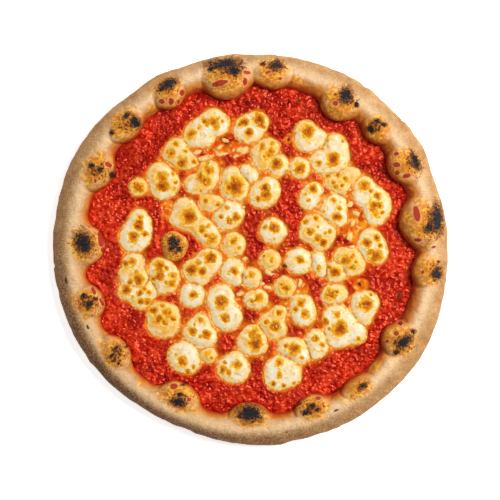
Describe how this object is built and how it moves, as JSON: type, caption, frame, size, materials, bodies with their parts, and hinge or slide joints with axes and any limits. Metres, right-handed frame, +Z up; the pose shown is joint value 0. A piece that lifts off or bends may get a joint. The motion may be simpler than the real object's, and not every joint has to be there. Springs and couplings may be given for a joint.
{
  "type": "pizza",
  "caption": "Round baked pizza with a puffed, blistered rim, a thin tomato sauce layer and scattered pieces of melted mozzarella.",
  "frame": {"origin": "Middle of the pizza's flat underside, on the surface that it lies on.", "axes": "+Z up out of the toppings; +Y towards the edge that is at the top of the picture; +X towards the edge at its right."},
  "size_m": [0.3004, 0.2977, 0.0255],
  "materials": {
    "dough": "baked wheat dough, floury and matt, charred on the blisters",
    "sauce": "wet crushed tomato",
    "cheese": "melted mozzarella with browned spots, oily"
  },
  "bodies": {
    "root": {"crust": "dough", "tomato_sauce": "sauce", "cheese_01": "cheese", "cheese_02": "cheese", "cheese_03": "cheese", "cheese_04": "cheese", "cheese_05": "cheese", "cheese_06": "cheese", "cheese_07": "cheese", "cheese_08": "cheese", "cheese_09": "cheese", "cheese_10": "cheese", "cheese_11": "cheese", "cheese_12": "cheese", "cheese_13": "cheese", "cheese_14": "cheese", "cheese_15": "cheese", "cheese_16": "cheese", "cheese_17": "cheese", "cheese_18": "cheese", "cheese_19": "cheese", "cheese_20": "cheese", "cheese_21": "cheese", "cheese_22": "cheese", "cheese_23": "cheese", "cheese_24": "cheese", "cheese_25": "cheese", "cheese_26": "cheese", "cheese_27": "cheese", "cheese_28": "cheese", "cheese_29": "cheese", "cheese_30": "cheese", "cheese_31": "cheese", "cheese_32": "cheese", "cheese_33": "cheese", "cheese_34": "cheese", "cheese_35": "cheese", "cheese_36": "cheese", "cheese_37": "cheese", "cheese_38": "cheese", "cheese_39": "cheese", "cheese_40": "cheese", "cheese_41": "cheese", "cheese_42": "cheese", "cheese_43": "cheese", "cheese_44": "cheese", "cheese_45": "cheese", "cheese_46": "cheese", "cheese_47": "cheese", "cheese_48": "cheese", "cheese_49": "cheese", "cheese_50": "cheese", "cheese_51": "cheese", "cheese_52": "cheese", "cheese_53": "cheese", "cheese_54": "cheese", "cheese_55": "cheese"}
  },
  "joints": []
}
